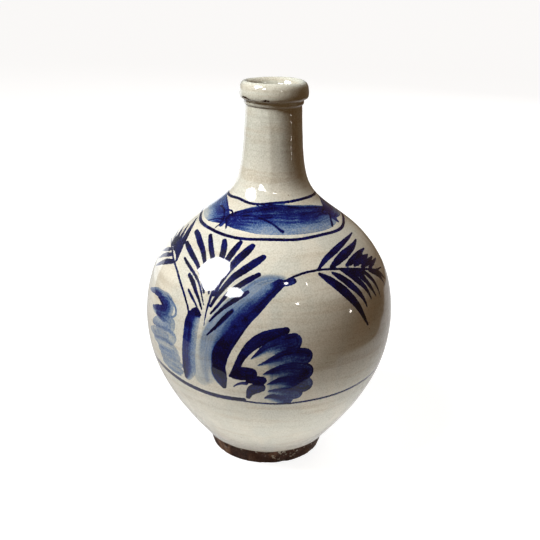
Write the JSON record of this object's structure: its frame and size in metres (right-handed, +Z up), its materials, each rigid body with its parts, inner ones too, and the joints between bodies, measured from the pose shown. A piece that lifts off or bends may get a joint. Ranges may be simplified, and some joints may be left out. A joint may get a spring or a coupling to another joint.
{
  "type": "pottery vase",
  "caption": "Round-bellied glazed stoneware bottle vase with a narrow neck, a rolled mouth collar, a bare foot ring and brushed cobalt-blue foliage.",
  "frame": {"origin": "centre of the foot ring on the resting plane", "axes": "+Z up along the axis of the vase; -Y towards the painted front"},
  "size_m": [0.1974, 0.1973, 0.3],
  "materials": {
    "stoneware_clay": "rough, unglazed, brown",
    "clay_slip": "rough, unglazed, dark brown",
    "painted_glaze": "glossy cream-grey glaze over brushed cobalt blue",
    "inner_glaze": "glossy plain grey-cream glaze"
  },
  "bodies": {
    "root": {"foot_ring": "stoneware_clay", "lower_body": "stoneware_clay", "upper_body": "stoneware_clay", "neck": "stoneware_clay", "mouth_collar": "stoneware_clay", "foot_slip": "clay_slip", "belly_slip": "clay_slip", "neck_slip": "clay_slip", "collar_slip": "clay_slip", "outer_glaze": "painted_glaze", "inner_glaze": "inner_glaze"}
  },
  "joints": []
}
